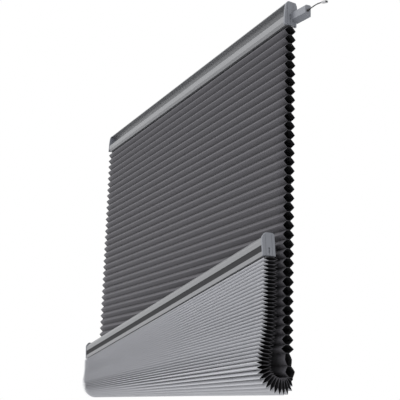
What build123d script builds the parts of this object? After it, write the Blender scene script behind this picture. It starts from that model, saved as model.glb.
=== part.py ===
"""Motor-driven honeycomb blind, hung from wall brackets, with its lower end folded up in front.

Millimetres. X runs along the blind, Y points into the wall, Z points up.
The origin is the middle of the centre bracket's two screw holes, on the wall plane y = 0.
"""

import os
from math import cos, hypot, radians, sin, sqrt, tan

from build123d import *

# Overall
fabric_width = 1200.0
rail_cut = 1194.0            # both rails are cut to the same length
cap_thickness = 5.0
panel_y = -24.0              # middle of the hanging fabric, in front of the wall
head_bottom_z = -27.0        # underside of the head rail

# Head rail section, from its underside and the panel's middle
head_wall = 1.4
head_floor = 4.8             # thick base that holds the fabric carrier's channel
head_front_low = -15.2
head_front_high = -14.5
fascia_low = 5.5
underside_front = -10.5
lip_height = 19.9
top_height = 52.0
top_back = 11.5
shoulder_y = 14.8
shoulder_height = 43.0
head_back_low = 13.8
# Scooped front: up from the lip, along the scoop's floor, round its back and out to the rim
scoop_floor = ((-13.0, 19.9), (-5.0, 29.0), (4.0, 31.0))
scoop_back = (9.4, 41.0)
scoop_roof = ((3.0, 50.6), (-6.6, 52.4), (-10.0, 49.4))
rim_outline = ((-11.0, 50.4), (-7.6, 54.3))
top_front = 7.0
drive_room = (                # hollow for the drive, from its floor's front corner upwards
    (-12.2, 4.8),
    (-13.5, 6.6),
    (-13.2, 15.6),
    (-11.9, 18.2),
    (-3.9, 27.5),
    (4.6, 29.2),
    (8.2, 30.9),
    (10.6, 34.6),
    (11.0, 40.5),
    (13.1, 40.5),
    (12.5, 4.8),
)
hook_groove_y = 9.6
hook_groove_width = 1.6
hook_groove_depth = 1.2
foot_groove_y = 8.6

# Fabric carrier and its channel, the same in both rails
channel_half = 6.0
channel_low = 1.2
channel_high = 3.6
mouth_half = 3.6
flange_half = 5.7
flange_thickness = 1.8
neck_half = 3.2
plate_drop = 3.0             # carrier's glue face, below the rail
plate_thickness = 1.4

# Honeycomb fabric
glue_half = 4.5              # half the width of each glue line
facet = 13.66                # from a glue line's edge to the crease
fabric_wall = 0.5
open_pitch = 19.75
open_cells = 35
# The last glue lines before the fold (y, z, heading) at the left and right ends, and the
# creases (front, back) of the right end's cells that are squeezed against the fold
settled_left = (
    (0.0, -738.5, 270),
    (2.0, -757.5, 270),
    (4.6, -776.5, 268),
    (7.0, -793.0, 250),
    (3.4, -801.8, 230),
)
settled_right = (
    (0.0, -738.5, 270),
    (4.8, -764.2, 270),
    (8.5, -786.9, 262),
    (6.6, -790.9, 230),
    (3.9, -797.0, 211),
)
settled_lines = (settled_left, settled_right)
squeezed_right = {
    38: ((0.5, -785.7), (13.4, -791.0)),
    39: ((-1.6, -786.3), (12.7, -804.3)),
    40: ((-4.2, -786.9), (11.8, -813.5)),
}
squeezed_creases = ({}, squeezed_right)
fold_y = (-19.0, -12.0)      # centre of the fold, from the panel's middle: left end, right end
fold_z = (-786.0, -763.0)
fold_radius = (27.0, 42.5)
fold_start = (310.0, 288.0)  # degrees round the fold where the hanging part runs into it
fold_low = 270.0
fold_end = 171.0
under_cells = 2              # cells from the fold's start to its lowest line
front_cells = (15, 9)        # cells from its lowest line to its end
raised_cells = (21, 27)      # cells above the fold
lean_radius = (120.0, 300.0)

# Bottom rail, from the middle of its fabric side
bottom_y = -42.0
bottom_z = -627.0
bottom_tilt = 8.1
bottom_half = 14.4
bottom_height = 45.9
bottom_wall = 1.4
bottom_shoulder = ((-14.4, 33.9), (-13.1, 37.7), (-7.6, 44.3), (-5.2, 45.9))   # front to top
bottom_chamfer_back = 3.6
trim_low = 10.0
trim_high = 23.9
trim_recess = 2.2
trim_thickness = 1.6
weight_half = 12.0
weight_thickness = 3.0
weight_length = 1150.0

# Drive
shaft_y = 3.2
shaft_z = 15.5
shaft_across = 6.0           # hexagon, across flats
shaft_left = -478.0
spool_stations = (-420.0, 0.0, 420.0)
spool_length = 70.0
spool_core = 6.0
spool_flange = 8.6
flange_width = 2.0
journal_radius = 5.0
journal_length = 5.0
running_gap = 0.05
cradle_plate = 3.0
cradle_base = 1.5
winding_radius = 7.3
winding_length = 9.0
motor_radius = 9.0
motor_length = 110.0
motor_left = 478.0
stub_radius = 2.5
coupling_radius = 6.0
coupling_length = 14.0
body_gap = 0.3

# Lift cords
cord_radius = 0.7
cord_hole = 2.0
knot_radius = 3.2
knot_height = 4.0

# Pod on the right cap, with its lead
pod_length = 48.0
pod_sweep = 7.6              # degrees it turns towards the wall
pod_front = 2.0
pod_back = 16.0
pod_top = 31.0
pod_low_front = 12.7
pod_low_back = 5.0
pod_wall = 1.4
pod_cover = 3.0
lead_radius = 1.25
lead_hole = 2.2
gland_length = 7.0
connector_length = 16.0

lead_y = 14.5
lead_z = 18.2
lead_steps = ((0, 0, 0), (12.5, 0, 0), (27.0, -0.2, -0.4), (41.5, -0.4, -2.6), (55.0, -0.6, -6.6))

# Brackets
bracket_stations = (-450.0, 0.0, 450.0)
bracket_width = 44.0
bracket_sheet = 1.5
bracket_hole = 2.5
bracket_hole_spacing = 24.0
bracket_fit = 0.1

head_half = rail_cut / 2
fabric_half = fabric_width / 2
lead_exit = Vector(head_half + cap_thickness + pod_length + gland_length, lead_y, lead_z)
head_place = Pos(0, panel_y, head_bottom_z)
bottom_place = Pos(0, panel_y + bottom_y, bottom_z) * Rot(0, -bottom_tilt, 0)
knot_stations = [x / cos(radians(bottom_tilt)) for x in spool_stations]


def section(*points):
    """Flat face in the YZ plane from its (y, z) corners."""
    return Plane.YZ * make_face(Polyline(*points, close=True))


def along(face, start, end):
    """Solid swept along X between two places."""
    return Pos(start, 0, 0) * extrude(face, end - start)


def block(x, y, z):
    """Box from its low and high limits on each axis."""
    low, high = Vector(x[0], y[0], z[0]), Vector(x[1], y[1], z[1])
    size = high - low
    return Pos(*((low + high) / 2)) * Box(size.X, size.Y, size.Z)


def round_bar(radius, y, z, start, end):
    """Round bar along X."""
    return Pos((start + end) / 2, y, z) * Rot(0, 90, 0) * Cylinder(radius, end - start)


def drill_down(radius, x, low, high):
    """Upright hole cutter on the panel's middle line."""
    return Pos(x, 0, (low + high) / 2) * Cylinder(radius, high - low)


# ---- rails and carriers -------------------------------------------------------------


def head_outline():
    """Outer section of the head rail, with its scooped front."""
    lip = (head_front_high, lip_height)
    under = Polyline(
        rim_outline[1],
        (top_front, top_height),
        (top_back, top_height),
        (shoulder_y, shoulder_height),
        (head_back_low, 0),
        (underside_front, 0),
        (head_front_low, fascia_low),
        lip,
        *scoop_floor,
    )
    back = ThreePointArc(scoop_floor[-1], scoop_back, scoop_roof[0])
    roof = Polyline(*scoop_roof, *rim_outline)
    return Plane.YZ * make_face(under + back + roof)


def carrier_channel(start, end):
    """Cutter for the T-shaped channel that the fabric carrier slides in."""
    throat = block((start, end), (-mouth_half, mouth_half), (-1, channel_low + 0.1))
    room = block((start, end), (-channel_half, channel_half), (channel_low, channel_high))
    return throat + room


def head_room():
    """Inner section of the head rail, round the drive."""
    return section(*drive_room)


def head_rail():
    """Aluminium head rail: scooped front, hollow for the drive, carrier channel below."""
    rail = along(head_outline(), -head_half, head_half)
    rail -= along(head_room(), -head_half - 1, head_half + 1)
    rail -= carrier_channel(-head_half - 1, head_half + 1)
    top, hook_y = top_height - hook_groove_depth, hook_groove_y
    rail -= block((-700, 700), (hook_y, hook_y + hook_groove_width), (top, top_height + 1))
    foot_y = foot_groove_y
    rail -= block((-700, 700), (foot_y, foot_y + hook_groove_width), (-1, hook_groove_depth))
    for x in spool_stations:
        rail -= drill_down(2.5, x, -1, head_floor + 1)
    return head_place * rail


def carrier(stations):
    """H-shaped strip: flange in the channel, neck through its mouth, glue plate below."""
    start, end = -head_half, head_half
    strip = block((start, end), (-flange_half, flange_half), (channel_low, channel_low + flange_thickness))
    strip += block((start, end), (-neck_half, neck_half), (plate_thickness - plate_drop, channel_low))
    strip += block((start, end), (-glue_half, glue_half), (-plate_drop, plate_thickness - plate_drop))
    for x in stations:
        strip -= drill_down(cord_hole, x, -plate_drop - 1, channel_high)
    return strip


def bottom_outline():
    """Outer section of the bottom rail, with its recess for a trim strip on each side."""
    front, back, top = -bottom_half, bottom_half, bottom_height
    inner_front, inner_back = front + trim_recess, back - trim_recess
    return section(
        (front, 0),
        (front, trim_low),
        (inner_front, trim_low),
        (inner_front, trim_high),
        (front, trim_high),
        *bottom_shoulder,
        (back - bottom_chamfer_back, top),
        (back, top - bottom_chamfer_back),
        (back, trim_high),
        (inner_back, trim_high),
        (inner_back, trim_low),
        (back, trim_low),
        (back, 0),
    )


def bottom_rail():
    """Aluminium bottom rail, hollow, with the same carrier channel as the head rail."""
    rail = along(bottom_outline(), -head_half, head_half)
    room = offset(bottom_outline(), amount=-bottom_wall)
    room &= section((-30, head_floor), (30, head_floor), (30, 60), (-30, 60))
    rail -= along(room, -head_half - 1, head_half + 1)
    rail -= carrier_channel(-head_half - 1, head_half + 1)
    for x in knot_stations:
        rail -= drill_down(cord_hole, x, -1, head_floor + 1)
    return bottom_place * rail


def trim_strip(side):
    """Dark strip pressed into the bottom rail's recess, on the front (-1) or the back (1)."""
    floor = bottom_half - trim_recess
    y = sorted((side * floor, side * (floor + trim_thickness)))
    return bottom_place * block((-head_half, head_half), y, (trim_low, trim_high))


def weight_bar():
    """Flat steel bar that lies on the ledges behind the trim recesses."""
    low = trim_high + bottom_wall
    half = weight_length / 2
    bar = block((-half, half), (-weight_half, weight_half), (low, low + weight_thickness))
    return bottom_place * bar


# ---- end caps ----------------------------------------------------------------------


def keyhole(x, y, z, depth):
    """Cutter for a release keyhole in a cap's outer face, with its groove down to the edge."""
    outer = x + (1 if x > 0 else -1)
    inner = x - depth * (1 if x > 0 else -1)
    ends = sorted((inner, outer))
    cut = round_bar(2.6, y, z, *ends)
    cut += block(ends, (y - 1.6, y + 1.6), (z - 9, z))
    shallow = sorted((x - 0.8 * (1 if x > 0 else -1), outer))
    return cut + block(shallow, (y - 0.7, y + 0.7), (-5, z - 8))


def head_cap(side):
    """Moulded cap on one end of the head rail (side is -1 or 1)."""
    outline = section(
        (-15.9, 0),
        (-14.9, 28),
        (-13.2, 43.6),
        (-11.0, 51.0),
        (-7.8, 54.6),
        (-4.5, 55.4),
        (12.0, 53.4),
        (15.2, 47.0),
        (15.9, 41),
        (14.6, 0),
    )
    inner, outer = sorted((side * head_half, side * (head_half + cap_thickness)))
    cap = along(outline, inner, outer)
    rim = cap.edges().filter_by(GeomType.LINE)
    rim = [e for e in rim if abs(e.center().X - side * (head_half + cap_thickness)) < 0.01]
    cap = chamfer(rim, 0.8)
    tongue = offset(head_room(), amount=-0.3) & section((-30, 5.1), (30, 5.1), (30, 23), (-30, 23))
    tongue -= offset(head_room(), amount=-2.0)
    ends = sorted((side * (head_half - 8), side * head_half))
    cap += along(tongue, *ends)
    face = side * (head_half + cap_thickness)
    cap -= keyhole(face, -1.5, 22, 2.0)
    for y in (-9.0, 5.3):
        deep = sorted((face - side * 0.6, face + side))
        cap -= block(deep, (y - 0.5, y + 0.5), (-2, 50))
    cap += block((inner, outer), (11.0, 14.2), (-3.5, 0))
    if side > 0:
        cap -= round_bar(2.6, 9.0, 19.0, inner - 10, outer + 1)
    return head_place * cap


def bottom_cap(side):
    """Moulded cap on one end of the bottom rail (side is -1 or 1)."""
    outline = section(
        (-15, 0),
        (-15, 38.5),
        (-13.7, 42.5),
        (-8, 49.5),
        (-5, 51),
        (10.3, 51),
        (15, 47.4),
        (15, 0),
    )
    inner, outer = sorted((side * head_half, side * (head_half + cap_thickness)))
    cap = along(outline, inner, outer)
    rim = cap.edges().filter_by(GeomType.LINE)
    rim = [e for e in rim if abs(e.center().X - side * (head_half + cap_thickness)) < 0.01]
    cap = chamfer(rim, 0.8)
    ends = sorted((side * (head_half - 8), side * head_half))
    for y in (-9.3, 9.3):
        cap += block(ends, (y - 1.2, y + 1.2), (6, 17))
    face = side * (head_half + cap_thickness)
    cap -= keyhole(face, 0, 16, 2.0)
    for y in (-7.5, 7.5):
        deep = sorted((face - side * 0.6, face + side))
        cap -= block(deep, (y - 0.5, y + 0.5), (-2, 46))
    return bottom_place * cap


# ---- drive -------------------------------------------------------------------------


def hexagon_bar(across, start, end):
    """Hexagonal bar along X on the shaft's axis."""
    outline = Plane.YZ * RegularPolygon(across / sqrt(3), 6)
    return Pos(0, shaft_y, shaft_z) * along(outline, start, end)


def drive_shaft():
    """Hexagonal shaft that carries the three spools."""
    return head_place * hexagon_bar(shaft_across, shaft_left, motor_left - 10)


def spool(x):
    """Cord spool: round journals, two flanges and a core, on the hexagonal shaft."""
    half = spool_length / 2
    outer = half + journal_length
    reel = round_bar(spool_core, shaft_y, shaft_z, x - half, x + half)
    reel += round_bar(journal_radius, shaft_y, shaft_z, x - outer, x + outer)
    for side in (-1, 1):
        edge = sorted((x + side * half, x + side * (half - flange_width)))
        reel += round_bar(spool_flange, shaft_y, shaft_z, *edge)
    reel -= hexagon_bar(shaft_across + 0.1, x - outer - 1, x + outer + 1)
    return head_place * reel


def cord_windings():
    """The last turns of cord that stay on each spool."""
    group = []
    for x in spool_stations:
        ring = round_bar(winding_radius, shaft_y, shaft_z, x - winding_length / 2, x + winding_length / 2)
        ring -= round_bar(spool_core, shaft_y, shaft_z, x - winding_length, x + winding_length)
        group.append(head_place * ring)
    return Compound(children=group)


def cradle(x):
    """Moulded cradle: a base on the rail's floor and two plates that bear the spool."""
    half = spool_length / 2 + 1.0
    low, high = head_floor, head_floor + cradle_base
    frame = block((x - half - cradle_plate, x + half + cradle_plate), (-6, 11.5), (low, high))
    for side in (-1, 1):
        ends = sorted((x + side * half, x + side * (half + cradle_plate)))
        frame += block(ends, (-5, 11.5), (low, shaft_z))
        frame += round_bar(8.2, shaft_y, shaft_z, *ends)
    frame -= round_bar(journal_radius + running_gap, shaft_y, shaft_z, x - 60, x + 60)
    frame -= drill_down(2.5, x, low - 1, high + 1)
    return head_place * frame


def motor():
    """Tubular motor and gearbox with its output stub."""
    body = round_bar(motor_radius, shaft_y, shaft_z, motor_left, motor_left + motor_length)
    ends = body.edges().filter_by(GeomType.CIRCLE)
    body = chamfer(ends, 0.8)
    body += round_bar(stub_radius, shaft_y, shaft_z, motor_left - 9, motor_left + 1)
    return head_place * body


def motor_coupling():
    """Sleeve that joins the hexagonal shaft to the motor's stub."""
    right = motor_left - body_gap
    left = right - coupling_length
    sleeve = round_bar(coupling_radius, shaft_y, shaft_z, left, right)
    sleeve -= round_bar(stub_radius + running_gap, shaft_y, shaft_z, motor_left - 9.5, motor_left + 1)
    sleeve -= hexagon_bar(shaft_across + 0.1, left - 1, motor_left - 9.4)
    return head_place * sleeve


def motor_saddle():
    """Saddle that keeps the motor off the rail's floor."""
    saddle = block((motor_left + 12, motor_left + 92), (-4.5, 10.5), (head_floor, 9.5))
    saddle -= round_bar(motor_radius + 0.05, shaft_y, shaft_z, motor_left, motor_left + 100)
    return head_place * saddle


def motor_cable():
    """Cable from the motor's end, through the right cap, to the board in the pod."""
    start = motor_left + motor_length
    return head_place * round_bar(1.6, 9.0, 19.0, start, head_half + cap_thickness + 6)


# ---- pod and lead ------------------------------------------------------------------


def pod_section(inset):
    """Section of the pod, with a slanted underside and a rounded top, shrunk by inset."""
    outline = section(
        (pod_front, pod_low_front),
        (pod_front, pod_top - 2),
        (pod_front + 2.5, pod_top),
        (pod_back - 1.5, pod_top),
        (pod_back, pod_top - 1.5),
        (pod_back, pod_low_back),
    )
    if inset:
        outline = offset(outline, amount=-inset)
    return outline


def pod_span(face, start, end):
    """Pod section swept from one distance along the pod to another."""
    lean = tan(radians(pod_sweep))
    root = head_half + cap_thickness
    moved = Pos(root + start, start * lean, 0) * face
    return extrude(moved, (end - start) / cos(radians(pod_sweep)), dir=(1, lean, 0))


def pod_housing():
    """Open-ended shell that stands out from the right cap."""
    shell = pod_span(pod_section(0), 0, pod_length - pod_cover)
    shell -= pod_span(pod_section(pod_wall), 1.6, pod_length)
    root = head_half + cap_thickness
    shell -= round_bar(2.6, 9.0, 19.0, root - 1, root + 2)
    return head_place * shell


def pod_end_cover():
    """Cover on the pod's end, with a tongue inside it and the lead's slot."""
    cover = pod_span(pod_section(0), pod_length - pod_cover, pod_length)
    tongue = pod_section(pod_wall + 0.15)
    cover += pod_span(tongue, pod_length - pod_cover - 4, pod_length - pod_cover)
    cover -= pod_span(pod_section(pod_wall + 1.4), pod_length - pod_cover - 5, pod_length - 1.6)
    cover = chamfer(cover.faces().sort_by(Axis.X)[-1].outer_wire().edges(), 0.7)
    x = head_half + cap_thickness + pod_length
    cover -= round_bar(lead_hole + running_gap, lead_y, lead_z, x - 10, x + 1)
    return head_place * cover


def control_board():
    """Circuit board that stands on the pod's floor."""
    board = pod_span(section((8.4, 11.0), (8.4, 27), (10.0, 27), (10.0, 11.0)), 8, 38)
    return head_place * board


def lead_gland():
    """Tapered boot that grips the lead in the pod's slot."""
    x = head_half + cap_thickness + pod_length
    boot = Pos(x + gland_length / 2, lead_y, lead_z) * Rot(0, 90, 0) * Cone(2.9, 1.9, gland_length)
    boot += round_bar(lead_hole, lead_y, lead_z, x - 3, x)
    return head_place * boot


def arc_radii(points):
    """Fillet radius at each inner corner, as large as its two runs allow."""
    radii = []
    for a, b, c in zip(points, points[1:], points[2:]):
        turn = (b - a).get_angle(c - b)
        run = min((b - a).length, (c - b).length)
        radii.append(0.45 * run / tan(radians(turn / 2)))
    return radii


def tube(points, radius):
    """Round tube of straight runs joined by tangent arcs."""
    radii = arc_radii(points)
    path = FilletPolyline(*points, radius=radii)
    start = Plane(origin=points[0], z_dir=points[1] - points[0])
    return sweep(start * Circle(radius), path=path), path.length, radii


def lead():
    """Short lead that leaves the pod and droops to its connector."""
    points = [lead_exit + Vector(*step) for step in lead_steps]
    cable, length, radii = tube(points, lead_radius)
    print("lead", round(length, 1), "mm, radii", [round(r, 1) for r in radii])
    return head_place * cable


def lead_connector():
    """Small plug on the end of the lead."""
    last, before = (lead_exit + Vector(*step) for step in (lead_steps[-1], lead_steps[-2]))
    place = Plane(origin=last, z_dir=last - before, x_dir=(0, 1, 0))
    plug = Pos(0, 0, connector_length / 2) * Box(7.0, 5.0, connector_length)
    plug = chamfer(plug.edges().filter_by(Axis.Z), 0.8)
    plug -= Pos(0, 0, connector_length) * Box(4.6, 2.6, 9.0)
    return head_place * (place * plug)


# ---- brackets ----------------------------------------------------------------------


def bracket(x):
    """Bent steel bracket: plate on the wall, arm over the rail's rim, foot under its edge."""
    wall = -panel_y
    fit = bracket_fit
    top = top_height + bracket_sheet
    hook_y = hook_groove_y + fit
    hook_low = top_height - hook_groove_depth + fit
    foot_y = foot_groove_y + fit
    foot_top = hook_groove_depth - fit
    sheet = bracket_sheet
    outline = section(
        (wall, -sheet),
        (wall, top),
        (hook_y, top),
        (hook_y, hook_low),
        (hook_y + hook_groove_width - 2 * fit, hook_low),
        (hook_y + hook_groove_width - 2 * fit, top_height),
        (wall - sheet, top_height),
        (wall - sheet, 0),
        (foot_y + hook_groove_width - 2 * fit, 0),
        (foot_y + hook_groove_width - 2 * fit, foot_top),
        (foot_y, foot_top),
        (foot_y, -sheet),
    )
    half = bracket_width / 2
    clip = head_place * along(outline, x - half, x + half)
    clip = fillet([e for e in clip.edges().filter_by(Axis.X) if e.center().Y > -0.01], 1.2)
    for side in (-1, 1):
        hole = Pos(x + side * bracket_hole_spacing / 2, 0, 0) * Rot(90, 0, 0) * Cylinder(bracket_hole, 8)
        clip -= hole
    return clip


# ---- honeycomb fabric --------------------------------------------------------------


def glue_line(y, z, heading):
    """Middle of a glue line in the panel's frame, and the unit vector across it."""
    turned = radians(heading - 90)
    return Vector(panel_y + y, z), Vector(cos(turned), sin(turned))


def fold_line(end, angle):
    """Glue line at an angle round the fold, at the left (0) or right (1) end."""
    radius = fold_radius[end]
    y = fold_y[end] + radius * cos(radians(angle))
    z = fold_z[end] + radius * sin(radians(angle))
    return glue_line(y, z, angle - 90)


def steps(first, last, count):
    """Evenly spaced values, both ends included."""
    return [first + (last - first) * k / count for k in range(count + 1)]


def hanging_lines(end):
    """Glue lines from the head rail down to the lowest line of the fold."""
    top = head_bottom_z - plate_drop
    lines = [glue_line(0, top - open_pitch * k, 270) for k in range(open_cells + 1)]
    lines += [glue_line(*line) for line in settled_lines[end]]
    lines += [fold_line(end, a) for a in steps(fold_start[end], fold_low, under_cells)]
    return lines


def rail_point(end):
    """Where the raised fabric meets the bottom rail's carrier at one end."""
    x = fabric_half if end else -fabric_half
    drop = plate_drop / cos(radians(bottom_tilt))
    return Vector(panel_y + bottom_y, bottom_z - drop + x * tan(radians(bottom_tilt)))


def raised_lines(end):
    """Glue lines from the fold's lowest line up to the bottom rail."""
    lines = [fold_line(end, a) for a in steps(fold_low, fold_end, front_cells[end])]
    foot, top = lines[-1][0], rail_point(end)
    corner = Vector(top.X, foot.Y + (top.X - foot.X) * tan(radians(fold_end - 90)))
    rise = FilletPolyline(foot, corner, top, radius=lean_radius[end])
    for share in steps(0, 1, raised_cells[end])[1:]:
        point, heading = rise.position_at(share), rise.tangent_at(share)
        lines.append((point, Vector(heading.Y, -heading.X)))
    return lines


def crease(first, second, outward):
    """Crease between two glue-line edges, one facet away from both."""
    middle = (first + second) / 2
    half = (second - first).length / 2
    across = Vector(-(second - first).Y, (second - first).X).normalized()
    if across.dot(outward) < 0:
        across = -across
    return middle + across * sqrt(facet**2 - half**2)


def cell_outline(line_a, line_b, squeezed):
    """Six corners of the cell between two glue lines, with set creases where it is squeezed."""
    (a, across_a), (b, across_b) = line_a, line_b
    front_a, front_b = a + across_a * glue_half, b + across_b * glue_half
    back_a, back_b = a - across_a * glue_half, b - across_b * glue_half
    if squeezed:
        front, back = (Vector(panel_y + y, z) for y, z in squeezed)
    else:
        outward = across_a + across_b
        front = crease(front_a, front_b, outward)
        back = crease(back_a, back_b, -outward)
    return [front_a, front, front_b, back_b, back, back_a]


def cell_outlines(lines, squeezed):
    """Outlines of all the cells in a run of glue lines."""
    pairs = zip(lines, lines[1:])
    return [cell_outline(a, b, squeezed.get(k)) for k, (a, b) in enumerate(pairs)]


def inset(corners, gap):
    """The same outline with each side moved inwards."""
    count = len(corners)
    twice_area = sum(corners[k - 1].X * corners[k].Y - corners[k].X * corners[k - 1].Y for k in range(count))
    turn = 1 if twice_area > 0 else -1
    moved = []
    for k in range(count):
        before = (corners[k] - corners[k - 1]).normalized()
        after = (corners[(k + 1) % count] - corners[k]).normalized()
        normal = Vector(-before.Y, before.X) * turn
        slide = gap * (1 - before.dot(after)) / (before.X * after.Y - before.Y * after.X)
        moved.append(corners[k] + normal * gap - before * (slide * turn))
    return moved


def outer_corners(cells):
    """Outline of a run of cells: down one side's creases and back up the other's."""
    front = [corner for cell in cells for corner in cell[:2]] + [cells[-1][2]]
    back = [corner for cell in reversed(cells) for corner in cell[3:5]] + [cells[0][5]]
    return front + back


def at_x(corners, x):
    """Corners in the (y, z) plane placed at one x."""
    return [Vector(x, c.X, c.Y) for c in corners]


def wall_strips(left, right):
    """One ruled face for each side of an outline that runs the blind's full width."""
    strips = []
    for k in range(len(left)):
        rows = [[left[k - 1], right[k - 1]], [left[k], right[k]]]
        strips.append(Face.make_bezier_surface(rows))
    return strips


def honeycomb(lines_at, squeezed):
    """Bonded fabric as one solid: outer walls, the walls of each cell, and two open ends."""
    sides = []
    for end, x in enumerate((-fabric_half, fabric_half)):
        outlines = cell_outlines(lines_at(end), squeezed[end])
        outer = at_x(outer_corners(outlines), x)
        cells = [at_x(inset(outline, fabric_wall), x) for outline in outlines]
        sides.append((outer, cells))
    (left_outer, left_cells), (right_outer, right_cells) = sides
    faces = wall_strips(left_outer, right_outer)
    for left, right in zip(left_cells, right_cells):
        faces += wall_strips(left, right)
    for outer, cells in sides:
        rings = [Wire.make_polygon(cell, close=True) for cell in cells]
        faces.append(Face(Wire.make_polygon(outer, close=True), rings))
    return Solid(Shell(faces))


def cord_points(x):
    """Route of one lift cord through the glue lines, down, round the fold and up."""
    share = (x + fabric_half) / fabric_width

    def middles(maker):
        pairs = zip(maker(0), maker(1))
        return [a[0] * (1 - share) + b[0] * share for a, b in pairs]

    down, up = middles(hanging_lines), middles(raised_lines)
    top = head_bottom_z
    entry = [(-5.1, shaft_z), (-4.4, 10.5), (0.0, 5.0)]
    route = [Vector(x, panel_y + y, top + z) for y, z in entry]
    spine = down[open_cells + 1:open_cells + 4] + down[open_cells + 5:open_cells + 7] + down[-1:]
    spine += up[2:21:2] + [up[25], up[30]]
    route += [Vector(x, p.X, p.Y) for p in spine]
    end_z = bottom_z + x * tan(radians(bottom_tilt)) + head_floor - 0.2
    return route + [Vector(x, panel_y + bottom_y, end_z)]


def lift_cord(x):
    """One lift cord, from its spool to its knot in the bottom rail."""
    cord, length, radii = tube(cord_points(x), cord_radius)
    print("lift cord", round(length, 1), "mm, smallest radius", round(min(radii), 1))
    return cord


def cord_tunnel(x):
    """Cutter for the cord's holes through the glue lines."""
    return tube(cord_points(x)[2:], cord_hole)[0]


def glue_holes(x):
    """Cutters for one cord's holes through the raised glue lines."""
    share = (x + fabric_half) / fabric_width
    cutters = []
    for (a, across_a), (b, across_b) in zip(raised_lines(0), raised_lines(1)):
        middle = a * (1 - share) + b * share
        across = across_a * (1 - share) + across_b * share
        place = Plane(origin=(x, middle.X, middle.Y), z_dir=(0, -across.Y, across.X))
        cutters.append(place * Rot(0, 0, 45) * Cylinder(cord_hole, 5 * fabric_wall))
    return cutters


def cord_knot(x):
    """Bead that stops the cord above the bottom rail's floor."""
    bead = Pos(x, 0, head_floor + knot_height / 2) * Cylinder(knot_radius, knot_height)
    return bottom_place * bead


def main():
    """Builds every piece and writes one STEP file for each."""
    ends = {"left": -1, "right": 1}
    places = ("left", "centre", "right")
    pieces = {"head_rail": head_rail(), "top_fabric_carrier": head_place * carrier(spool_stations)}
    pieces["bottom_rail"] = bottom_rail()
    pieces["bottom_fabric_carrier"] = bottom_place * carrier(knot_stations)
    pieces["rail_trim_front"] = trim_strip(-1)
    pieces["rail_trim_back"] = trim_strip(1)
    pieces["weight_bar"] = weight_bar()
    for name, side in ends.items():
        pieces[f"head_rail_cap_{name}"] = head_cap(side)
        pieces[f"bottom_rail_cap_{name}"] = bottom_cap(side)
    pieces["drive_shaft"] = drive_shaft()
    pieces["motor"] = motor()
    pieces["motor_coupling"] = motor_coupling()
    pieces["motor_saddle"] = motor_saddle()
    pieces["motor_cable"] = motor_cable()
    pieces["cord_windings"] = cord_windings()
    for name, x in zip(places, spool_stations):
        pieces[f"spool_{name}"] = spool(x)
        pieces[f"spool_cradle_{name}"] = cradle(x)
    for name, x in zip(places, bracket_stations):
        pieces[f"wall_bracket_{name}"] = bracket(x)
    pieces["pod_housing"] = pod_housing()
    pieces["pod_end_cover"] = pod_end_cover()
    pieces["control_board"] = control_board()
    pieces["lead_gland"] = lead_gland()
    pieces["lead"] = lead()
    pieces["lead_connector"] = lead_connector()
    hanging = honeycomb(hanging_lines, squeezed_creases)
    raised = honeycomb(raised_lines, ({}, {}))
    for name, x, knot_x in zip(places, spool_stations, knot_stations):
        hanging -= cord_tunnel(x)
        raised = raised.cut(*glue_holes(x))
        pieces[f"lift_cord_{name}"] = lift_cord(x)
        pieces[f"cord_knot_{name}"] = cord_knot(knot_x)
    pieces["hanging_fabric"] = hanging
    pieces["raised_fabric"] = raised
    os.makedirs("parts", exist_ok=True)
    for name, piece in pieces.items():
        export_step(piece, f"parts/{name}.step")
    print(len(pieces), "pieces")


main()
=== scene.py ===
import math

import bmesh
import bpy
from mathutils import Matrix, Vector


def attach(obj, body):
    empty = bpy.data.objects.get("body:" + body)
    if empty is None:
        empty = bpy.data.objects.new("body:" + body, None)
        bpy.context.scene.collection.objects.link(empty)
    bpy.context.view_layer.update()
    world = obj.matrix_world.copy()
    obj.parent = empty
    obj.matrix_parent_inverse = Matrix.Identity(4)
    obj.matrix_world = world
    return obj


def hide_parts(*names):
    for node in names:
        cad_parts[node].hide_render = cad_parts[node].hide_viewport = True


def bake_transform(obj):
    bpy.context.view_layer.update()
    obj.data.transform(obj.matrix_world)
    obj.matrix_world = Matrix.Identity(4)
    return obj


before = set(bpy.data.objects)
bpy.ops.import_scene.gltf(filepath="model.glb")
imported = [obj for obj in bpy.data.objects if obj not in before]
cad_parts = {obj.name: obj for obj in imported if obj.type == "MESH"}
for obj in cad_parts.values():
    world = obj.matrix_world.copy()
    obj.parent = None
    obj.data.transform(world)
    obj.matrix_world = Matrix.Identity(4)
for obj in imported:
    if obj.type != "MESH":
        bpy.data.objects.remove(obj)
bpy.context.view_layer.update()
print("frame loaded:", len(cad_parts), "nodes")

mm = 0.001


# camera, light and floor

cameraView = {
    "position": (2.2663, -0.9594, -0.8495),
    "azimuth": 66.295,
    "elevation": -12.559,
    "roll": 1.732,
    "lens": 83.5,
}


def placeCamera(view):
    turn, rise, roll = (math.radians(view[k]) for k in ("azimuth", "elevation", "roll"))
    back = Vector((math.sin(turn) * math.cos(rise), -math.cos(turn) * math.cos(rise), math.sin(rise)))
    right = (-back).cross(Vector((0, 0, 1))).normalized()
    up = right.cross(-back)
    rolledRight = right * math.cos(roll) + up * math.sin(roll)
    rolledUp = up * math.cos(roll) - right * math.sin(roll)
    camera = bpy.data.objects.new("camera", bpy.data.cameras.new("camera"))
    camera.data.lens = view["lens"]
    camera.data.sensor_width = 36
    camera.data.clip_start, camera.data.clip_end = 0.05, 60
    turned = Matrix((rolledRight, rolledUp, back)).transposed()
    camera.matrix_world = Matrix.Translation(view["position"]) @ turned.to_4x4()
    bpy.context.scene.collection.objects.link(camera)
    bpy.context.scene.camera = camera


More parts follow.
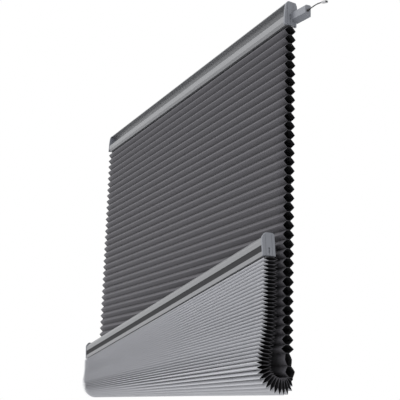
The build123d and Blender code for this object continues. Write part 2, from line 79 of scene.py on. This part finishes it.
studio = {
    "worldColour": (1.0, 1.0, 1.0),
    "worldStrength": 1.0,
    "floorHeight": -1.3,
    "floorHalf": 9.0,
    "floorColour": (0.86, 0.86, 0.86, 1),
    "softboxes": {
        # name: place, aimed at, size, watts
        "frontBox": ((-0.6, -2.6, 1.1), (0, -0.05, -0.4), 1.8, 38),
        "topBox": ((0.4, -0.9, 2.2), (0, -0.05, -0.3), 1.2, 14),
    },
}


def lightStudio(values):
    world = bpy.data.worlds.new("studio")
    world.use_nodes = True
    background = world.node_tree.nodes["Background"]
    background.inputs["Color"].default_value = (*values["worldColour"], 1)
    background.inputs["Strength"].default_value = values["worldStrength"]
    bpy.context.scene.world = world
    for name, (place, target, size, watts) in values["softboxes"].items():
        lamp = bpy.data.lights.new(name, "AREA")
        lamp.shape, lamp.size, lamp.energy = "SQUARE", size, watts
        box = bpy.data.objects.new(name, lamp)
        aim = Vector(target) - Vector(place)
        box.matrix_world = Matrix.Translation(place) @ aim.to_track_quat("-Z", "Y").to_matrix().to_4x4()
        bpy.context.scene.collection.objects.link(box)
    bpy.context.scene.view_settings.view_transform = "Standard"


placeCamera(cameraView)
lightStudio(studio)
print("camera and lights placed")


# shared shader groups

def newGroup(name, inputs, outputs):
    group = bpy.data.node_groups.new(name, "ShaderNodeTree")
    kinds = {"number": "NodeSocketFloat", "vector": "NodeSocketVector"}
    for label, kind, value in inputs:
        socket = group.interface.new_socket(name=label, in_out="INPUT", socket_type=kinds[kind])
        socket.default_value = value
    for label, kind in outputs:
        group.interface.new_socket(name=label, in_out="OUTPUT", socket_type=kinds[kind])
    return group, group.nodes.new("NodeGroupInput"), group.nodes.new("NodeGroupOutput")


def addNode(tree, kind, settings=None, **inputs):
    # each input is a value, or a socket to link from; i0, i1 and so on go by the socket's number
    node = tree.nodes.new(kind)
    for label, value in (settings or {}).items():
        setattr(node, label, value)
    for label, value in inputs.items():
        numbered = label[0] == "i" and label[1:].isdigit()
        socket = node.inputs[int(label[1:]) if numbered else label]
        if isinstance(value, bpy.types.NodeSocket):
            tree.links.new(value, socket)
        else:
            socket.default_value = value
    return node


def calc(tree, operation, first, second=0.0):
    return addNode(tree, "ShaderNodeMath", {"operation": operation}, i0=first, i1=second).outputs[0]


def makeEdgeRub():
    # light wear and a softened normal along hard edges
    group, given, result = newGroup(
        "edgeRub",
        [("Radius", "number", 0.0006), ("Amount", "number", 0.5)],
        [("Mask", "number"), ("Normal", "vector")],
    )
    softened = addNode(group, "ShaderNodeBevel", {"samples": 4}, Radius=given.outputs["Radius"])
    flat = addNode(group, "ShaderNodeNewGeometry")
    dot = {"operation": "DOT_PRODUCT"}
    facing = addNode(group, "ShaderNodeVectorMath", dot, i0=softened.outputs[0], i1=flat.outputs["Normal"])
    sharp = calc(group, "SUBTRACT", 1.0, facing.outputs["Value"])
    place = addNode(group, "ShaderNodeTexCoord")
    spot = place.outputs["Object"]
    blotch = addNode(group, "ShaderNodeTexNoise", None, Vector=spot, Scale=160.0, Detail=4.0)
    patchy = calc(group, "MULTIPLY", sharp, blotch.outputs["Fac"])
    wear = calc(group, "MULTIPLY", patchy, given.outputs["Amount"])
    clamped = addNode(group, "ShaderNodeClamp", None, Value=calc(group, "MULTIPLY", wear, 6.0))
    group.links.new(clamped.outputs[0], result.inputs["Mask"])
    group.links.new(softened.outputs[0], result.inputs["Normal"])
    return group


def makeFineGrain():
    # stretched fine noise: drawn lines on metal, moulding texture on plastic
    group, given, result = newGroup(
        "fineGrain",
        [("Stretch", "vector", (1.0, 1.0, 1.0)), ("Size", "number", 900.0)],
        [("Tone", "number"), ("Height", "number")],
    )
    place = addNode(group, "ShaderNodeTexCoord")
    times = {"operation": "MULTIPLY"}
    spot, stretch = place.outputs["Object"], given.outputs["Stretch"]
    drawn = addNode(group, "ShaderNodeVectorMath", times, i0=spot, i1=stretch)
    size = given.outputs["Size"]
    fine = addNode(
        group, "ShaderNodeTexNoise", None, Vector=drawn.outputs[0], Scale=size, Detail=5.0, Roughness=0.6
    )
    broad = addNode(group, "ShaderNodeTexNoise", None, Vector=drawn.outputs[0], Scale=14.0, Detail=2.0)
    fineShare = calc(group, "MULTIPLY", fine.outputs["Fac"], 0.6)
    broadShare = calc(group, "MULTIPLY", broad.outputs["Fac"], 0.4)
    mixed = calc(group, "ADD", fineShare, broadShare)
    group.links.new(mixed, result.inputs["Tone"])
    group.links.new(fine.outputs["Fac"], result.inputs["Height"])
    return group


def makeClothWeave():
    # plain weave on the cloth's own map, in metres, with thicker threads here and there
    group, given, result = newGroup(
        "clothWeave",
        [("Pitch", "number", 0.0005), ("Slub", "number", 0.5)],
        [("Tone", "number"), ("Height", "number")],
    )
    cloth = addNode(group, "ShaderNodeUVMap", {"uv_map": "cloth"})
    split = addNode(group, "ShaderNodeSeparateXYZ", None, Vector=cloth.outputs[0])
    rate = calc(group, "DIVIDE", math.pi, given.outputs["Pitch"])
    across = calc(group, "MULTIPLY", split.outputs[0], rate)
    down = calc(group, "MULTIPLY", split.outputs[1], rate)
    warp = calc(group, "ABSOLUTE", calc(group, "SINE", across))
    weft = calc(group, "ABSOLUTE", calc(group, "SINE", down))
    over = calc(group, "MULTIPLY", calc(group, "COSINE", across), calc(group, "COSINE", down))
    threads = calc(group, "ADD", calc(group, "MULTIPLY", warp, weft), calc(group, "MULTIPLY", over, 0.35))
    times = {"operation": "MULTIPLY"}
    stretched = addNode(group, "ShaderNodeVectorMath", times, i0=cloth.outputs[0], i1=(60.0, 1400.0, 1.0))
    slub = addNode(group, "ShaderNodeTexNoise", None, Vector=stretched.outputs[0], Scale=1.0, Detail=3.0)
    patch = addNode(group, "ShaderNodeTexNoise", None, Vector=cloth.outputs[0], Scale=9.0, Detail=2.0)
    uneven = calc(group, "MULTIPLY", slub.outputs["Fac"], given.outputs["Slub"])
    blotchy = calc(group, "ADD", uneven, calc(group, "MULTIPLY", patch.outputs["Fac"], 0.3))
    tone = calc(group, "ADD", calc(group, "MULTIPLY", threads, 0.35), blotchy)
    height = calc(group, "ADD", threads, uneven)
    group.links.new(tone, result.inputs["Tone"])
    group.links.new(height, result.inputs["Height"])
    return group


def makeRestingDust():
    # faint dust on faces that look up
    group, given, result = newGroup("restingDust", [("Amount", "number", 0.3)], [("Mask", "number")])
    flat = addNode(group, "ShaderNodeNewGeometry")
    split = addNode(group, "ShaderNodeSeparateXYZ", None, Vector=flat.outputs["Normal"])
    up = addNode(group, "ShaderNodeMapRange", None, Value=split.outputs[2], i1=0.5, i2=1.0, i3=0.0, i4=1.0)
    place = addNode(group, "ShaderNodeTexCoord")
    drift = addNode(group, "ShaderNodeTexNoise", None, Vector=place.outputs["Object"], Scale=26.0, Detail=6.0)
    settled = calc(group, "MULTIPLY", up.outputs[0], drift.outputs["Fac"])
    mask = calc(group, "MULTIPLY", settled, given.outputs["Amount"])
    group.links.new(mask, result.inputs["Mask"])
    return group


edgeRub = makeEdgeRub()
fineGrain = makeFineGrain()
clothWeave = makeClothWeave()
restingDust = makeRestingDust()


def useGroup(tree, group, **inputs):
    node = tree.nodes.new("ShaderNodeGroup")
    node.node_tree = group
    for label, value in inputs.items():
        node.inputs[label].default_value = value
    return node


def blendColour(tree, factor, first, second):
    node = tree.nodes.new("ShaderNodeMix")
    node.data_type = "RGBA"
    colours = [s for s in node.inputs if s.type == "RGBA"]
    tree.links.new(factor, node.inputs[0])
    for socket, value in zip(colours, (first, second)):
        if isinstance(value, bpy.types.NodeSocket):
            tree.links.new(value, socket)
        else:
            socket.default_value = (*value, 1)
    return [s for s in node.outputs if s.type == "RGBA"][0]


sharedLook = {
    "dustColour": (0.55, 0.53, 0.50),
    "bumpDistance": 0.0002,
    "sheenRoughness": 0.5,
    "valleyShadeTone": 0.2,  # darkest painted shade between two cells, as a share of the cloth's dark colour
}


def hardFinish(name, values):
    # metal or moulded plastic with grain, rubbed edges and a little dust
    material = bpy.data.materials.new(name)
    material.use_nodes = True
    tree = material.node_tree
    shader = tree.nodes["Principled BSDF"]
    grain = useGroup(tree, fineGrain, Stretch=values["stretch"], Size=values["grainSize"])
    rub = useGroup(tree, edgeRub, Radius=values["edgeRadius"], Amount=values["rub"])
    dust = useGroup(tree, restingDust, Amount=values["dust"])
    base = blendColour(tree, grain.outputs["Tone"], values["dark"], values["light"])
    rubbed = blendColour(tree, rub.outputs["Mask"], base, values["rubbed"])
    dusty = blendColour(tree, dust.outputs["Mask"], rubbed, sharedLook["dustColour"])
    tree.links.new(dusty, shader.inputs["Base Color"])
    shader.inputs["Metallic"].default_value = values["metallic"]
    shader.inputs["Specular IOR Level"].default_value = values.get("specular", 0.5)
    low, high = values["roughness"]
    tone = grain.outputs["Tone"]
    rough = addNode(tree, "ShaderNodeMapRange", None, Value=tone, i1=0.3, i2=0.7, i3=low, i4=high)
    tree.links.new(rough.outputs[0], shader.inputs["Roughness"])
    bump = addNode(
        tree, "ShaderNodeBump", None, Strength=values["bump"], Distance=sharedLook["bumpDistance"],
        Height=grain.outputs["Height"], Normal=rub.outputs["Normal"],
    )
    tree.links.new(bump.outputs[0], shader.inputs["Normal"])
    return material


hardFinishes = {
    "satinAluminium": {
        "dark": (0.186, 0.189, 0.198), "light": (0.216, 0.219, 0.228), "rubbed": (0.42, 0.42, 0.43),
        "metallic": 0.25, "roughness": (0.36, 0.44), "stretch": (0.03, 1.0, 1.0), "grainSize": 1400.0,
        "edgeRadius": 0.0001, "rub": 0.1, "dust": 0.03, "bump": 0.01,
    },
    "capPlastic": {
        "dark": (0.160, 0.168, 0.190), "light": (0.182, 0.190, 0.212), "rubbed": (0.30, 0.31, 0.33),
        "metallic": 0.0, "roughness": (0.42, 0.54), "stretch": (1.0, 1.0, 1.0), "grainSize": 2200.0,
        "edgeRadius": 0.0006, "rub": 0.35, "dust": 0.06, "bump": 0.04,
    },
    "darkTrim": {
        "dark": (0.020, 0.020, 0.022), "light": (0.028, 0.028, 0.030), "rubbed": (0.07, 0.07, 0.075),
        "metallic": 0.0, "roughness": (0.7, 0.8), "stretch": (0.05, 1.0, 1.0), "grainSize": 1800.0,
        "specular": 0.2,
        "edgeRadius": 0.0004, "rub": 0.3, "dust": 0.04, "bump": 0.03,
    },
    "zincSteel": {
        "dark": (0.42, 0.42, 0.43), "light": (0.58, 0.58, 0.57), "rubbed": (0.72, 0.72, 0.72),
        "metallic": 0.9, "roughness": (0.3, 0.5), "stretch": (1.0, 1.0, 1.0), "grainSize": 300.0,
        "edgeRadius": 0.0004, "rub": 0.6, "dust": 0.05, "bump": 0.05,
    },
    "motorTube": {
        "dark": (0.02, 0.02, 0.022), "light": (0.045, 0.045, 0.048), "rubbed": (0.2, 0.2, 0.2),
        "metallic": 0.3, "roughness": (0.35, 0.5), "stretch": (1.0, 1.0, 1.0), "grainSize": 900.0,
        "edgeRadius": 0.0004, "rub": 0.5, "dust": 0.05, "bump": 0.05,
    },
    "spoolPlastic": {
        "dark": (0.62, 0.62, 0.60), "light": (0.72, 0.72, 0.70), "rubbed": (0.8, 0.8, 0.8),
        "metallic": 0.0, "roughness": (0.4, 0.5), "stretch": (1.0, 1.0, 1.0), "grainSize": 1500.0,
        "edgeRadius": 0.0004, "rub": 0.3, "dust": 0.05, "bump": 0.05,
    },
    "boardLacquer": {
        "dark": (0.012, 0.07, 0.03), "light": (0.02, 0.11, 0.05), "rubbed": (0.3, 0.25, 0.12),
        "metallic": 0.0, "roughness": (0.2, 0.35), "stretch": (1.0, 1.0, 1.0), "grainSize": 700.0,
        "edgeRadius": 0.0002, "rub": 0.4, "dust": 0.0, "bump": 0.05,
    },
    "leadRubber": {
        "dark": (0.004, 0.004, 0.004), "light": (0.008, 0.008, 0.009), "rubbed": (0.03, 0.03, 0.03),
        "metallic": 0.0, "roughness": (0.45, 0.65), "stretch": (1.0, 1.0, 1.0), "grainSize": 1600.0,
        "edgeRadius": 0.0003, "rub": 0.3, "dust": 0.05, "bump": 0.1,
    },
    "plugPlastic": {
        "dark": (0.30, 0.30, 0.31), "light": (0.38, 0.38, 0.39), "rubbed": (0.5, 0.5, 0.5),
        "metallic": 0.0, "roughness": (0.35, 0.5), "stretch": (1.0, 1.0, 1.0), "grainSize": 1500.0,
        "edgeRadius": 0.0004, "rub": 0.3, "dust": 0.05, "bump": 0.05,
    },
    "liftCord": {
        "dark": (0.02, 0.02, 0.022), "light": (0.05, 0.05, 0.055), "rubbed": (0.08, 0.08, 0.08),
        "metallic": 0.0, "roughness": (0.7, 0.85), "stretch": (1.0, 1.0, 1.0), "grainSize": 2500.0,
        "edgeRadius": 0.0002, "rub": 0.2, "dust": 0.0, "bump": 0.3,
    },
}
finish = {name: hardFinish(name, values) for name, values in hardFinishes.items()}


def clothFinish(name, values):
    material = bpy.data.materials.new(name)
    material.use_nodes = True
    tree = material.node_tree
    shader = tree.nodes["Principled BSDF"]
    weave = useGroup(tree, clothWeave, Pitch=values["pitch"], Slub=values["slub"])
    base = blendColour(tree, weave.outputs["Tone"], values["dark"], values["light"])
    # painted shade: the cloth's colour darkens towards the glue lines between cells, by a weight stored on
    # each point
    valleyShade = addNode(tree, "ShaderNodeAttribute", {"attribute_name": "valleyShade"})
    shade = calc(tree, "MULTIPLY", valleyShade.outputs["Fac"], values["valleyShade"])
    valleyShadeColour = tuple(c * sharedLook["valleyShadeTone"] for c in values["dark"])
    shaded = blendColour(tree, shade, base, valleyShadeColour)
    tree.links.new(shaded, shader.inputs["Base Color"])
    shader.inputs["Roughness"].default_value = values["roughness"]
    shader.inputs["Sheen Weight"].default_value = values["sheen"]
    shader.inputs["Sheen Roughness"].default_value = sharedLook["sheenRoughness"]
    bump = addNode(
        tree, "ShaderNodeBump", None, Strength=values["bump"], Distance=sharedLook["bumpDistance"],
        Height=weave.outputs["Height"],
    )
    tree.links.new(bump.outputs[0], shader.inputs["Normal"])
    return material


# valley: strength of the painted shade towards the glue lines between cells
clothFinishes = {
    "roomCloth": {
        "dark": (0.060, 0.058, 0.067), "light": (0.086, 0.083, 0.094),
        "pitch": 0.0006, "slub": 0.6, "roughness": 0.85, "sheen": 0.05, "bump": 0.12, "valleyShade": 0.6,
    },
    "windowCloth": {
        "dark": (0.43, 0.435, 0.465), "light": (0.55, 0.555, 0.58),
        "pitch": 0.0006, "slub": 0.4, "roughness": 0.8, "sheen": 0.05, "bump": 0.12, "valleyShade": 0.6,
    },
    "blackLining": {
        "dark": (0.002, 0.002, 0.003), "light": (0.005, 0.005, 0.007),
        "pitch": 0.0006, "slub": 0.3, "roughness": 0.95, "sheen": 0.0, "bump": 0.1, "valleyShade": 0.0,
    },
}
finish.update({name: clothFinish(name, values) for name, values in clothFinishes.items()})
print("finishes made:", len(finish))


# CAD pieces that keep their shape

keptPieces = {
    "satinAluminium": ["head_rail", "bottom_rail"],
    "capPlastic": [
        "head_rail_cap_left", "head_rail_cap_right", "bottom_rail_cap_left", "bottom_rail_cap_right",
        "pod_housing", "pod_end_cover",
    ],
    "darkTrim": [
        "rail_trim_front", "rail_trim_back", "top_fabric_carrier", "bottom_fabric_carrier", "motor_saddle",
    ],
    "zincSteel": [
        "wall_bracket_left", "wall_bracket_centre", "wall_bracket_right",
        "weight_bar", "drive_shaft", "motor_coupling",
    ],
    "motorTube": ["motor"],
    "spoolPlastic": [
        "spool_left", "spool_centre", "spool_right",
        "spool_cradle_left", "spool_cradle_centre", "spool_cradle_right",
    ],
    "boardLacquer": ["control_board"],
    "leadRubber": ["lead_gland", "motor_cable", "lead"],
    "plugPlastic": ["lead_connector"],
    "liftCord": [
        "lift_cord_left", "lift_cord_centre", "lift_cord_right",
        "cord_knot_left", "cord_knot_centre", "cord_knot_right", "cord_windings",
    ],
}
for finishName, nodeNames in keptPieces.items():
    for nodeName in nodeNames:
        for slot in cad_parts[nodeName].material_slots:
            slot.material = finish[finishName]
print("CAD pieces finished")


def addPiece(name, bm, materials):
    mesh = bpy.data.meshes.new(name)
    bm.to_mesh(mesh)
    bm.free()
    for material in materials:
        mesh.materials.append(material)
    piece = bpy.data.objects.new(name, mesh)
    bpy.context.scene.collection.objects.link(piece)
    return piece


# honeycomb fabric, in millimetres until it is built

fabric = {
    "panelY": -24.0,
    "half": 600.0,
    "glueHalf": 4.5,
    "facet": 13.66,
    "topZ": -30.0,
    "openPitch": 19.75,
    "openCells": 35,
    # where there are two values or rows, the first is for the left end and the second for the right
    # last glue lines before the fold: y, z, heading
    "settled": (
        ((0.0, -738.5, 270), (2.0, -757.5, 270), (4.6, -776.5, 268), (7.0, -793.0, 250), (3.4, -801.8, 230)),
        ((0.0, -738.5, 270), (4.8, -764.2, 270), (8.5, -786.9, 262), (6.6, -790.9, 230), (3.9, -797.0, 211)),
    ),
    # front and back creases of the cells squeezed against the fold
    "squeezed": (
        {},
        {
            38: ((0.5, -785.7), (13.4, -791.0)),
            39: ((-1.6, -786.3), (12.7, -804.3)),
            40: ((-4.2, -786.9), (11.8, -813.5)),
        },
    ),
    "foldY": (-19.0, -12.0),
    "foldZ": (-786.0, -763.0),
    "foldRadius": (27.0, 42.5),
    "foldStart": (310.0, 288.0),
    "foldLow": 270.0,
    "foldEnd": 171.0,
    "underCells": 2,
    "frontCells": (15, 9),
    "raisedCells": (21, 27),
    "leanRadius": (120.0, 300.0),
    "railY": -66.0,
    "railZ": -627.0,
    "railTilt": 8.1,
    "railDrop": 3.0,
    "stations": 32,  # stretches along the blind
    "bow": 0.35,
    "bowShare": 0.03,  # largest bow of a facet, as a share of its width
    "creaseRound": 0.7,
    "creaseShare": 0.2,
    "ripples": ((1.0, 21.0, 1.7, 0.0), (0.6, 47.0, 2.9, 1.0)),  # weight, rate, shift by cell and by point
    "rippleLean": (0.7, 0.3),
    "rippleHeight": 0.14,
    "sharpAngle": 38.0,
    "wall": 0.42,
    "stretchBelowRail": 93.0,
}


def glueLine(y, z, heading):
    turned = math.radians(heading - 90)
    return Vector((fabric["panelY"] + y, z)), Vector((math.cos(turned), math.sin(turned)))


def foldLine(end, angle):
    radius, turned = fabric["foldRadius"][end], math.radians(angle)
    y = fabric["foldY"][end] + radius * math.cos(turned)
    return glueLine(y, fabric["foldZ"][end] + radius * math.sin(turned), angle - 90)


def steps(first, last, count):
    return [first + (last - first) * k / count for k in range(count + 1)]


def hangingLines(end):
    heights = [fabric["topZ"] - fabric["openPitch"] * k for k in range(fabric["openCells"] + 1)]
    lines = [glueLine(0, z, 270) for z in heights]
    lines += [glueLine(*line) for line in fabric["settled"][end]]
    angles = steps(fabric["foldStart"][end], fabric["foldLow"], fabric["underCells"])
    return lines + [foldLine(end, angle) for angle in angles]


def leanPoint(foot, corner, top, radius, share):
    # a point and direction on the run foot-corner-top, with its corner rounded
    first, second = (corner - foot).normalized(), (top - corner).normalized()
    turn = math.atan2(first.x * second.y - first.y * second.x, first.dot(second))
    cut = radius * math.tan(abs(turn) / 2)
    lower, bend, upper = (corner - foot).length - cut, radius * abs(turn), (top - corner).length - cut
    distance = share * (lower + bend + upper)
    if distance <= lower:
        return foot + first * distance, first
    if distance >= lower + bend:
        return top - second * (lower + bend + upper - distance), second
    side = 1 if turn > 0 else -1
    inward = Vector((-first.y, first.x)) * side
    centre = foot + first * lower + inward * radius
    turned = Matrix.Rotation((distance - lower) / radius * side, 2)
    return centre - turned @ inward * radius, turned @ first


def raisedLines(end):
    lines = [foldLine(end, a) for a in steps(fabric["foldLow"], fabric["foldEnd"], fabric["frontCells"][end])]
    x = fabric["half"] if end else -fabric["half"]
    tilt = math.radians(fabric["railTilt"])
    foot = lines[-1][0]
    railZ = fabric["railZ"] - fabric["railDrop"] / math.cos(tilt) + x * math.tan(tilt)
    top = Vector((fabric["railY"], railZ))
    corner = Vector((top.x, foot.y + (top.x - foot.x) * math.tan(math.radians(fabric["foldEnd"] - 90))))
    for share in steps(0, 1, fabric["raisedCells"][end])[1:]:
        point, heading = leanPoint(foot, corner, top, fabric["leanRadius"][end], share)
        lines.append((point, Vector((heading.y, -heading.x))))
    return lines


def creaseBetween(first, second, outward):
    across = Vector((-(second - first).y, (second - first).x)).normalized()
    if across.dot(outward) < 0:
        across = -across
    half = (second - first).length / 2
    return (first + second) / 2 + across * math.sqrt(max(fabric["facet"] ** 2 - half ** 2, 0.0))


def bowedFacet(glueEdge, crease, otherEdge):
    # a glue edge, the bowed middle of its facet and the start of the rounded crease
    run = crease - glueEdge
    outward = Vector((run.y, -run.x)).normalized()
    if outward.dot(glueEdge - otherEdge) < 0:
        outward = -outward
    bow = min(fabric["bow"], run.length * fabric["bowShare"])
    rounded = min(fabric["creaseRound"], run.length * fabric["creaseShare"])
    return [glueEdge, glueEdge + run * 0.5 + outward * bow, crease - run.normalized() * rounded]


def facetPoints(start, crease, end):
    # one side of a cell: two bowed facets that meet in a rounded crease
    return bowedFacet(start, crease, end) + bowedFacet(end, crease, start)[::-1]


# the 12 points of a cell's profile: room side 0 to 5, window side 6 to 11
# painted shade weight at each of these points, strongest at a hanging cell's lower glue line; the raised
# cells take it reversed
valleyShadeWeights = (0.35, 0.0, 0.0, 0.0, 0.3, 1.0, 1.0, 0.3, 0.0, 0.0, 0.0, 0.35)
ripplingPoints = (1, 2, 3, 4, 7, 8, 9, 10)
windowWalls = range(6, 11)


def cellProfile(lineA, lineB, squeezed):
    (a, acrossA), (b, acrossB) = lineA, lineB
    half = fabric["glueHalf"]
    frontA, frontB = a + acrossA * half, b + acrossB * half
    backA, backB = a - acrossA * half, b - acrossB * half
    if squeezed:
        front, back = (Vector((fabric["panelY"] + y, z)) for y, z in squeezed)
    else:
        front = creaseBetween(frontA, frontB, acrossA + acrossB)
        back = creaseBetween(backA, backB, -acrossA - acrossB)
    return facetPoints(frontA, front, frontB) + facetPoints(backB, back, backA)


def clothMarks(profile, travelled):
    # distance along the cloth at each point of a profile
    marks = [travelled]
    for before, after in zip(profile, profile[1:]):
        marks.append(marks[-1] + (after - before).length)
    return marks


def rippled(place, share, cell, point):
    # soft waves in the creases, fading out towards both ends
    ripple = sum(
        weight * math.sin(share * rate + cell * byCell + point * byPoint)
        for weight, rate, byCell, byPoint in fabric["ripples"]
    )
    fade = math.sin(math.pi * share) ** 0.5
    lean = fabric["rippleLean"]
    return place + Vector((ripple * lean[0], ripple * lean[1])) * fabric["rippleHeight"] * fade


def drawCell(bm, layers, cell, profiles, marks, shadeWeights):
    # one cell: a closed ring at the left end, drawn out station by station to the right end
    along, valleyShade = layers
    leftProfile, rightProfile = profiles
    count = len(leftProfile)
    ring = [bm.verts.new((-fabric["half"] * mm, p.x * mm, p.y * mm)) for p in leftProfile]
    for vert, mark, shadeWeight in zip(ring, marks, shadeWeights):
        # each point carries its distance along the cloth and its painted shade weight
        vert[along], vert[valleyShade] = mark * mm, shadeWeight
    edges = [bm.edges.new((ring[j], ring[(j + 1) % count])) for j in range(count)]
    for station in range(1, fabric["stations"] + 1):
        share = station / fabric["stations"]
        drawn = bmesh.ops.extrude_edge_only(bm, edges=edges)["geom"]
        following = {round(v[along] * 1e6): v for v in drawn if isinstance(v, bmesh.types.BMVert)}
        ring = [following[round(v[along] * 1e6)] for v in ring]
        for j, vert in enumerate(ring):
            place = leftProfile[j].lerp(rightProfile[j], share)
            if j in ripplingPoints:
                place = rippled(place, share, cell, j)
            vert.co = Vector(((share * 2 - 1) * fabric["half"], place.x, place.y)) * mm
        for j in range(count):
            edges[j] = bm.edges.get((ring[j], ring[(j + 1) % count]))
            wall = edges[j].link_faces[0]
            wall.material_index = 1 if j in windowWalls else 0
            wall.smooth = True


def mapCloth(bm, along, cloth):
    # the wall that closes a profile runs on from its last point, across the glue line
    cellLength = 4 * fabric["facet"] * mm
    for wall in bm.faces:
        top = max(loop.vert[along] for loop in wall.loops)
        for loop in wall.loops:
            mark = loop.vert[along]
            if top - mark > cellLength * 0.75:
                mark = top + 2 * fabric["glueHalf"] * mm
            loop[cloth].uv = (loop.vert.co.x, mark)


def buildCells(name, linesAt, squeezed, shadeWeights):
    bm = bmesh.new()
    cloth = bm.loops.layers.uv.new("cloth")
    along = bm.verts.layers.float.new("along")
    # per-point weight of the painted shade between cells, read by the cloth finish
    valleyShade = bm.verts.layers.float.new("valleyShade")
    left, right = linesAt(0), linesAt(1)
    cells = len(left) - 1
    travelled = 0.0
    for k in range(cells):
        profiles = [
            cellProfile(lines[k], lines[k + 1], creases.get(k))
            for lines, creases in zip((left, right), squeezed)
        ]
        marks = clothMarks(profiles[0], travelled)
        travelled = marks[-1] + 2 * fabric["glueHalf"]
        drawCell(bm, (along, valleyShade), k, profiles, marks, shadeWeights)
    bmesh.ops.recalc_face_normals(bm, faces=bm.faces[:])
    mapCloth(bm, along, cloth)
    lining = finish["blackLining"]
    piece = addPiece(name, bm, [finish["roomCloth"], finish["windowCloth"], lining, lining])
    piece.data.set_sharp_from_angle(angle=math.radians(fabric["sharpAngle"]))
    skin = piece.modifiers.new("wall", "SOLIDIFY")
    skin.thickness = fabric["wall"] * mm
    skin.offset = -1  # inwards
    skin.use_even_offset = False
    skin.material_offset = 2  # black inside the cells
    skin.material_offset_rim = 0
    print(name, "built:", cells, "cells, cloth", round(travelled * mm, 2), "m")
    return piece, travelled * mm


hangingCells, hangingCloth = buildCells("hangingCells", hangingLines, fabric["squeezed"], valleyShadeWeights)
raisedCells, raisedCloth = buildCells("raisedCells", raisedLines, ({}, {}), valleyShadeWeights[::-1])
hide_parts("hanging_fabric")
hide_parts("raised_fabric")
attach(hangingCells, "blind")

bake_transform(raisedCells)


# lift cords: the CAD shape, with repeated points merged

for side in ("left", "centre", "right"):
    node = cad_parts[f"lift_cord_{side}"]
    bm = bmesh.new()
    bm.from_mesh(node.data)
    bmesh.ops.remove_doubles(bm, verts=bm.verts[:], dist=1e-6)
    cord = addPiece(f"liftCord{side.capitalize()}", bm, [finish["liftCord"]])
    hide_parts(f"lift_cord_{side}")
    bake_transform(cord)
print("lift cords finished")


# power lead

powerLead = {
    "exit": (0.657, -0.0095, -0.0088),
    "steps": ((0, 0, 0), (12.5, 0, 0), (27.0, -0.2, -0.4), (41.5, -0.4, -2.6), (55.0, -0.6, -6.6)),
    "diameter": 0.0025,
    "length": 0.0555,
    "roundSteps": 6,
    "curveSteps": 12,
    "order": 3,
}


def buildLead(values):
    curve = bpy.data.curves.new("powerLead", "CURVE")
    curve.dimensions = "3D"
    curve.bevel_depth = values["diameter"] / 2
    curve.bevel_resolution = values["roundSteps"]
    curve.resolution_u = values["curveSteps"]
    curve.use_fill_caps = True
    spline = curve.splines.new("NURBS")
    spline.points.add(len(values["steps"]) - 1)
    for point, step in zip(spline.points, values["steps"]):
        point.co = (*(Vector(values["exit"]) + Vector(step) * mm), 1)
    spline.order_u = values["order"]
    spline.use_endpoint_u = True
    curve.materials.append(finish["leadRubber"])
    lead = bpy.data.objects.new("powerLead", curve)
    bpy.context.scene.collection.objects.link(lead)
    return lead


powerLeadPiece = buildLead(powerLead)
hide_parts("lead")
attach(powerLeadPiece, "blind")
print("power lead finished")


# floor

def buildFloor(values):
    bm = bmesh.new()
    bmesh.ops.create_grid(bm, x_segments=1, y_segments=1, size=values["floorHalf"])
    bmesh.ops.translate(bm, verts=bm.verts[:], vec=(0, 0, values["floorHeight"]))
    material = bpy.data.materials.new("paleFloor")
    material.use_nodes = True
    tree = material.node_tree
    shader = tree.nodes["Principled BSDF"]
    grain = useGroup(tree, fineGrain, Stretch=(1.0, 1.0, 1.0), Size=60.0)
    pale = values["floorColour"][:3]
    base = blendColour(tree, grain.outputs["Tone"], tuple(c * 0.98 for c in pale), pale)
    tree.links.new(base, shader.inputs["Base Color"])
    shader.inputs["Roughness"].default_value = 0.9
    floor = addPiece("floor", bm, [material])


buildFloor(studio)
